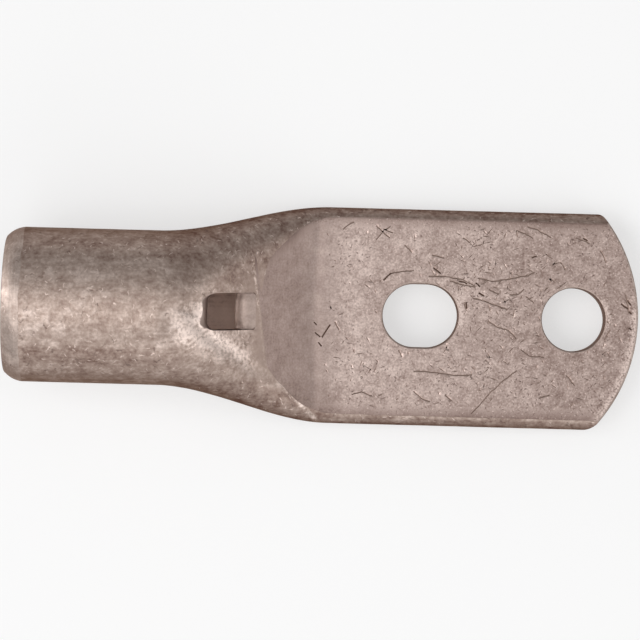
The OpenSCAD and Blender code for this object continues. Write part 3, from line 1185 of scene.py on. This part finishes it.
# %% Paths of the long scratches
SCRATCHES = [
    [(76.9, -15.8), (79.8, -12.4), (82.1, -10.1), (84.3, -8.4)],
    [(69.4, 6.9), (72.2, 6.9), (74.9, 6.5), (76.9, 5.6)],
    [(72.9, 6.2), (75.0, 5.6), (77.2, 5.3)],
    [(60.4, 15.0), (62.7, 13.0)],
    [(62.7, 15.0), (61.5, 14.0), (60.4, 12.8)],
    [(67.2, -8.9), (70.7, -9.0), (74.1, -9.4), (76.9, -9.3)],
    [(64.0, -3.8), (64.7, -5.3), (65.2, -6.6)],
    [(62.1, 6.4), (63.6, 7.3), (65.2, 7.6), (66.8, 7.8)],
    [(70.3, 8.1), (71.0, 7.5)],
    [(77.4, 6.8), (79.7, 6.3), (82.7, 6.8), (85.6, 7.4), (86.8, 8.0)],
    [(79.4, 4.9), (80.2, 4.5), (81.0, 4.2)],
    [(82.7, 4.1), (84.2, 4.3), (85.1, 5.1)],
    [(83.6, 14.9), (85.2, 14.3), (86.4, 13.6)],
    [(83.6, 14.8), (83.8, 13.8)],
    [(76.8, 3.4), (78.6, 3.1), (79.8, 2.6), (82.5, 1.7)],
    [(79.3, -0.3), (81.1, -1.3), (82.9, -1.8), (84.1, -3.1)],
    [(75.3, 2.7), (75.7, 1.3)],
    [(85.5, 4.0), (86.9, 2.9)],
    [(54.9, 14.3), (55.7, 15.0), (56.7, 15.5)],
    [(61.7, 14.5), (63.2, 13.9)],
    [(85.5, 15.5), (86.9, 15.2), (88.2, 14.5), (89.4, 13.8)],
    [(102.1, 4.7), (102.6, 1.6)],
    [(67.3, -12.2), (68.9, -13.6), (70.1, -13.9)],
    [(84.9, -4.9), (86.4, -6.0), (88.8, -6.0)],
    [(92.5, -8.9), (94.0, -10.6)],
    [(97.6, 12.0), (98.6, 10.0)],
    [(93.4, 13.9), (95.9, 13.1)],
    [(91.0, 9.8), (92.0, 8.5)],
    [(57.1, -13.1), (58.6, -12.6), (60.5, -13.2)],
    [(53.9, -1.1), (54.8, -2.4)],
    [(72.5, -12.7), (73.7, -13.7)],
    [(88.0, -12.8), (89.8, -12.3)],
    [(99.6, -1.2), (98.6, -3.1)],
    [(65.2, 11.9), (66.4, 10.8)],
    [(74.8, 13.4), (76.0, 12.6)],
    [(69.8, 10.4), (71.8, 10.0)],
]
DEEP_NICKS = [
    [(101.3, 3.1), (102.5, 2.3)],
    [(102.4, 3.8), (102.9, 2.9)],
    [(102.6, 2.0), (103.0, 1.5)],
    [(102.7, -0.8), (103.1, -1.1)],
    [(61.8, 6.0), (62.4, 6.6), (63.2, 7.2)],
    [(70.1, 8.4), (70.8, 7.8), (71.3, 7.3)],
    [(75.6, 2.8), (75.8, 1.6)],
    [(74.3, 6.2), (75.2, 6.1), (75.7, 5.8)],
    [(50.7, -3.0), (51.6, -3.7)],
    [(51.9, -3.8), (52.5, -2.7), (53.2, -1.6)],
    [(51.3, -4.5), (51.9, -5.2)],
    [(50.5, -1.2), (51.0, -1.7)],
    [(77.2, 6.0), (77.9, 5.3)],
    [(77.7, 4.3), (78.7, 3.9)],
    [(86.3, 10.4), (87.0, 10.7)],
    [(94.7, 13.9), (95.5, 13.4)],
    [(92.0, -3.2), (93.0, -3.5)],
]


def path_net(name, paths):
    """An object of open paths. Its points are in millimetres, in the frame."""
    points, steps = [], []
    for path in paths:
        steps += [(len(points) + k, len(points) + k + 1) for k in range(len(path) - 1)]
        points += [(x * MM, y * MM, z * MM) for x, y, z in path]
    net = bpy.data.objects.new(name, bpy.data.meshes.new(name))
    net.data.from_pydata(points, steps, [])
    print(f"{name}: {len(paths)} paths")
    return net


def on_top(path):
    """Lays a path on the lug's upper side. It comes as distances from the mouth and sideways."""
    places = [(x + MOUTH_X / MM, y) for x, y in path]
    return [(x, y, surface_z(x, y)) for x, y in places]


scratch_net = path_net("scratch_paths", [on_top(path) for path in SCRATCHES])
deep_net = path_net("deep_nick_paths", [on_top(path) for path in DEEP_NICKS])

# %% [markdown]
# A bar is laid along each path. Noise wobbles it and makes it skip in places, as
# a corner does that is dragged over metal. Parabola and power thin both ends.

# %% Long scratches
SCRATCH_STEP = 0.3 * MM
scratch_sizes = {
    "Paths": scratch_net,
    "Width": 0.2 * MM,
    "Depth": 0.06 * MM,
    "Wobble": 0.25 * MM,
    "Finish": placeholder,
}


def add_scratch_rule(add, given):
    """Thin diamond bars along the paths, for cutting grooves."""
    source = add("ObjectInfo", given["Paths"]).outputs["Geometry"]
    curve = add("MeshToCurve", source)
    curve = add("ResampleCurve LENGTH", curve, Length=SCRATCH_STEP)
    noise = add("TexNoise", Scale=900, Detail=3).outputs["Color"]
    noise = add("VectorMath SUBTRACT", noise, MIDDLE)
    noise = add("VectorMath MULTIPLY", noise, Vector((2, 2, 0.35)))
    noise = add("VectorMath SCALE", noise, given["Wobble"])
    curve = add("SetPosition", curve, Offset=noise)
    factor = add("SplineParameter").outputs["Factor"]
    left = add("SUBTRACT", 1, factor)
    taper = add("MULTIPLY", add("MULTIPLY", factor, left), 4)
    taper = add("MAXIMUM", add("POWER", taper, 0.6), 0.15)
    skips = add("TexNoise", Scale=1100, Detail=1)
    skips = add("MapRange", skips, 0.4, 0.58, 0.25, 1)
    taper = add("MULTIPLY", taper, skips)
    curve = add("SetCurveRadius", curve, Radius=taper)
    curve = add("SetCurveNormal Z_UP", curve)
    half = add("MULTIPLY", given["Width"], 0.5)
    diamond = add("CurvePrimitiveCircle", 4, Radius=1)
    size = add("CombineXYZ", half, given["Depth"], 1)
    diamond = add("Transform", diamond, Scale=size)
    return add("CurveToMesh", curve, diamond, Fill_Caps=True)


scratch_tree = new_tree("Long scratches", scratch_sizes, add_scratch_rule)
fine = {"paths": scratch_net, "width": 0.24 * MM, "finish": scratched}
deep = {"paths": deep_net, "width": 0.3 * MM, "depth": 0.1 * MM, "finish": gouged}
cut(lug, run_tree(scratch_tree, "scratches", **fine))
cut(lug, run_tree(scratch_tree, "deep_nicks", **deep))

# %% [markdown]
# At the tip a fine line shows where the two pressed walls lie on each other. The
# same bars cut it, along an arc at half the palm's height.

# %% The seam at the tip
seam_arc = arc(along(arc_x) / MM, TIP_SIDE / MM, TIP_R / MM, -40, 40, 40)
seam_path = [(x, y, PALM_T / MM / 2) for x, y in seam_arc]
seam = run_tree(
    scratch_tree,
    "seam",
    paths=path_net("seam_path", [seam_path]),
    width=0.5 * MM,
    depth=0.1 * MM,
    wobble=0.08 * MM,
    finish=gouged,
)
cut(lug, seam)

# %% [markdown]
# The short nicks are scattered. Distribute Points throws them on a sheet over
# the palm, and Raycast drops each one on the metal below it. A noise gathers
# them in crowds. Most of them lie between the two holes, where a washer has sat.
# Each is a long thin octahedron at a random turn, half sunk into the metal.

# %% Short nicks
nick_sizes = {
    "Surface": lug,
    "Length": 0.9 * MM,
    "Width": 0.18 * MM,
    "Depth": 0.05 * MM,
    "Density": 400000.0,
    "Seed": 4,
    "Finish": placeholder,
}


def add_nick_rule(add, given):
    """Thin octahedra scattered over the palm's upper face, for cutting nicks."""
    start = BEND_X + 1 * MM
    size_x, size_y = LUG_LEN - 1 * MM - start, PALM_W - 6 * MM
    sheet = add("MeshGrid", size_x, size_y, 60, 40)
    middle = Vector((along(start + size_x / 2), 0, TUBE_D))
    sheet = add("SetPosition", sheet, Offset=middle)
    crowd = add("TexNoise", Scale=130, Detail=2)
    crowd = add("MapRange", crowd, 0.46, 0.64, 0.1, 1.6)
    busiest = Vector((along(79 * MM), 4 * MM, TUBE_D))
    far = add("VectorMath DISTANCE", add("InputPosition"), busiest)
    near = add("MapRange", far, 6 * MM, 17 * MM, 2.2, 0.7)
    crowd = add("MULTIPLY", crowd, near)
    density = add("MULTIPLY", given["Density"], crowd)
    seed = given["Seed"]
    points = add("DistributePointsOnFaces", sheet, Density=density, Seed=seed)
    surface = add("ObjectInfo", given["Surface"]).outputs["Geometry"]
    drop = add("Raycast", surface, Ray_Direction=Vector((0, 0, -1)))
    points = add("SetPosition", points, Position=drop.outputs["Hit Position"])
    nick = add("MeshUVSphere", 4, 2, 0.5)
    turn = add("RandomValue", 0, math.tau, Seed=seed)
    turn = add("CombineXYZ", Z=turn)
    luck = add("RandomValue", 0.5, 1.35, Seed=11)
    luck = add("POWER", luck, 2.5)
    length = add("MULTIPLY", given["Length"], luck)
    luck = add("RandomValue", 0.5, 1.4, Seed=12)
    width = add("MULTIPLY", given["Width"], luck)
    depth = add("MULTIPLY", given["Depth"], 2)
    size = add("CombineXYZ", length, width, depth)
    return add("InstanceOnPoints", points, Instance=nick, Rotation=turn, Scale=size)


nick_tree = new_tree("Nicks", nick_sizes, add_nick_rule)
cut(lug, run_tree(nick_tree, "nicks", surface=lug, finish=scratched))

# %% [markdown]
# Where two cuts cross, a crumb of metal can be left hanging in the air. Only the
# largest connected piece is the lug, so the rest is dropped.

# %% Drop the crumbs
whole = bmesh.new()
whole.from_mesh(lug.data)
left_over = set(whole.verts)
pieces = []
while left_over:
    waiting = [left_over.pop()]
    piece = set(waiting)
    while waiting:
        point = waiting.pop()
        fresh = {edge.other_vert(point) for edge in point.link_edges} & left_over
        left_over -= fresh
        piece |= fresh
        waiting += fresh
    pieces.append(piece)
pieces.sort(key=len)
crumbs = [point for piece in pieces[:-1] for point in piece]
bmesh.ops.delete(whole, geom=crumbs, context="VERTS")
print("pieces:", len(pieces), "points in crumbs:", len(crumbs))
print("edges not shared by two faces:", sum(len(e.link_faces) != 2 for e in whole.edges))
whole.to_mesh(lug.data)
whole.free()

# %% [markdown]
# ## Floor, camera and light
#
# The lug lies on plain white paper. The paper keeps the soft shadow, and a share
# of it glows towards the camera, so that it comes out nearly white without more
# light on the metal.

# %% Floor
floor = bpy.data.objects.new("floor", bpy.data.meshes.new("floor"))
bpy.context.scene.collection.objects.link(floor)
FLOOR_HALF = 3.0
FLOOR_Z = -0.05 * MM
ends = (-FLOOR_HALF, FLOOR_HALF)
floor_corners = [(x, y, FLOOR_Z) for y in ends for x in ends]
floor.data.from_pydata(floor_corners, [], [(0, 1, 3, 2)])
floor_paint = bpy.data.materials.new("white_paper_floor")
floor_paint.use_nodes = True
t = floor_paint.node_tree
add = partial(add_to, t)
paper = t.nodes["Principled BSDF"]
paper.inputs["Base Color"].default_value = to_linear("f7f7f7")
paper.inputs["Roughness"].default_value = 0.9
ray = add("LightPath").outputs
seen = add("MAXIMUM", ray["Is Camera Ray"], ray["Is Glossy Ray"])
seen = add("MAXIMUM", seen, ray["Is Transmission Ray"])
share = add("MULTIPLY", seen, 0.54)
glow = add("Emission", to_linear("ffffff"), 1)
mixed = add("MixShader", share, paper, glow)
t.links.new(mixed.outputs[0], t.nodes["Material Output"].inputs["Surface"])
floor.data.materials.append(floor_paint)
print(f"floor: {2 * FLOOR_HALF} m wide, at {FLOOR_Z / MM} mm")

# %% [markdown]
# The photo looks straight down from about 0.6 m through a long lens. The right
# ends of the holes show their walls, so the camera stands over the middle of
# the lug, and the lug is turned by one and a half degrees in the picture.

# %% Camera
camera = bpy.data.objects.new("camera", bpy.data.cameras.new("camera"))
bpy.context.scene.collection.objects.link(camera)
camera.data.sensor_width = 36
camera.data.lens = 205.9
camera.data.clip_start = 0.01
camera.location = (-0.6 * MM, -0.86 * MM, 612.7 * MM)
camera.rotation_euler = (0, 0, math.radians(1.55))
bpy.context.scene.camera = camera
print(f"camera: {camera.data.lens} mm lens, {camera.location.z:.3f} m up")

# %% [markdown]
# Soft boxes stand in a ring round the table. Most of the light comes from the
# barrel's side: the mouth end is bright in the photo, and the flanks are darker
# towards the back. Two low boxes catch the sloping shoulder and the rolled edges.

# %% Light
BOX_DISTANCE = 1.3
SOFT_BOXES = {
    # name: compass angle, tilt from overhead, watts, size in metres
    "top": (0, 0, 1.0, 0.8),
    "back": (90, 35, 1.4, 1.5),
    "left": (180, 35, 4.4, 0.8),
    "front_left": (225, 35, 3.5, 0.8),
    "right": (0, 35, 2.1, 0.8),
    "front_right": (315, 60, 2.4, 0.8),
    "front": (270, 68, 2.2, 0.8),
    "right_low": (0, 78, 1.25, 0.45),
    "left_low": (170, 78, 4.5, 0.45),
}
for name, (compass, tilt, watts, size) in SOFT_BOXES.items():
    turn, lean = math.radians(compass), math.radians(tilt)
    flat = math.sin(lean)
    way = Vector((flat * math.cos(turn), flat * math.sin(turn), math.cos(lean)))
    box = bpy.data.lights.new(name, "AREA")
    box.size = size
    box.energy = watts
    stand = bpy.data.objects.new(name, box)
    bpy.context.scene.collection.objects.link(stand)
    stand.location = way * BOX_DISTANCE
    stand.rotation_euler = (-way).to_track_quat("-Z", "Y").to_euler()
    print(f"soft box {name}: {watts} W")

world = bpy.data.worlds.new("studio")
world.use_nodes = True
world.node_tree.nodes["Background"].inputs["Color"].default_value = (1, 1, 1, 1)
world.node_tree.nodes["Background"].inputs["Strength"].default_value = 0.24
bpy.context.scene.world = world
bpy.context.scene.view_settings.view_transform = "Standard"

# %% [markdown]
# ## Last steps
#
# The lug is shaded smooth, with sharp edges only where two faces meet at a real
# corner. It rides on the frame's one body and takes the place of the CAD node,
# and its first material slot is dropped. Its triangles and materials are printed.

# %% Finish
lug.data.materials.pop(index=0)
lug.data.shade_smooth()
lug.data.set_sharp_from_angle(angle=math.radians(38))
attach(lug, "root")
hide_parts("lug")
lug.data.calc_loop_triangles()
print("triangles:", len(lug.data.loop_triangles))
print("materials:", [material.name for material in lug.data.materials])
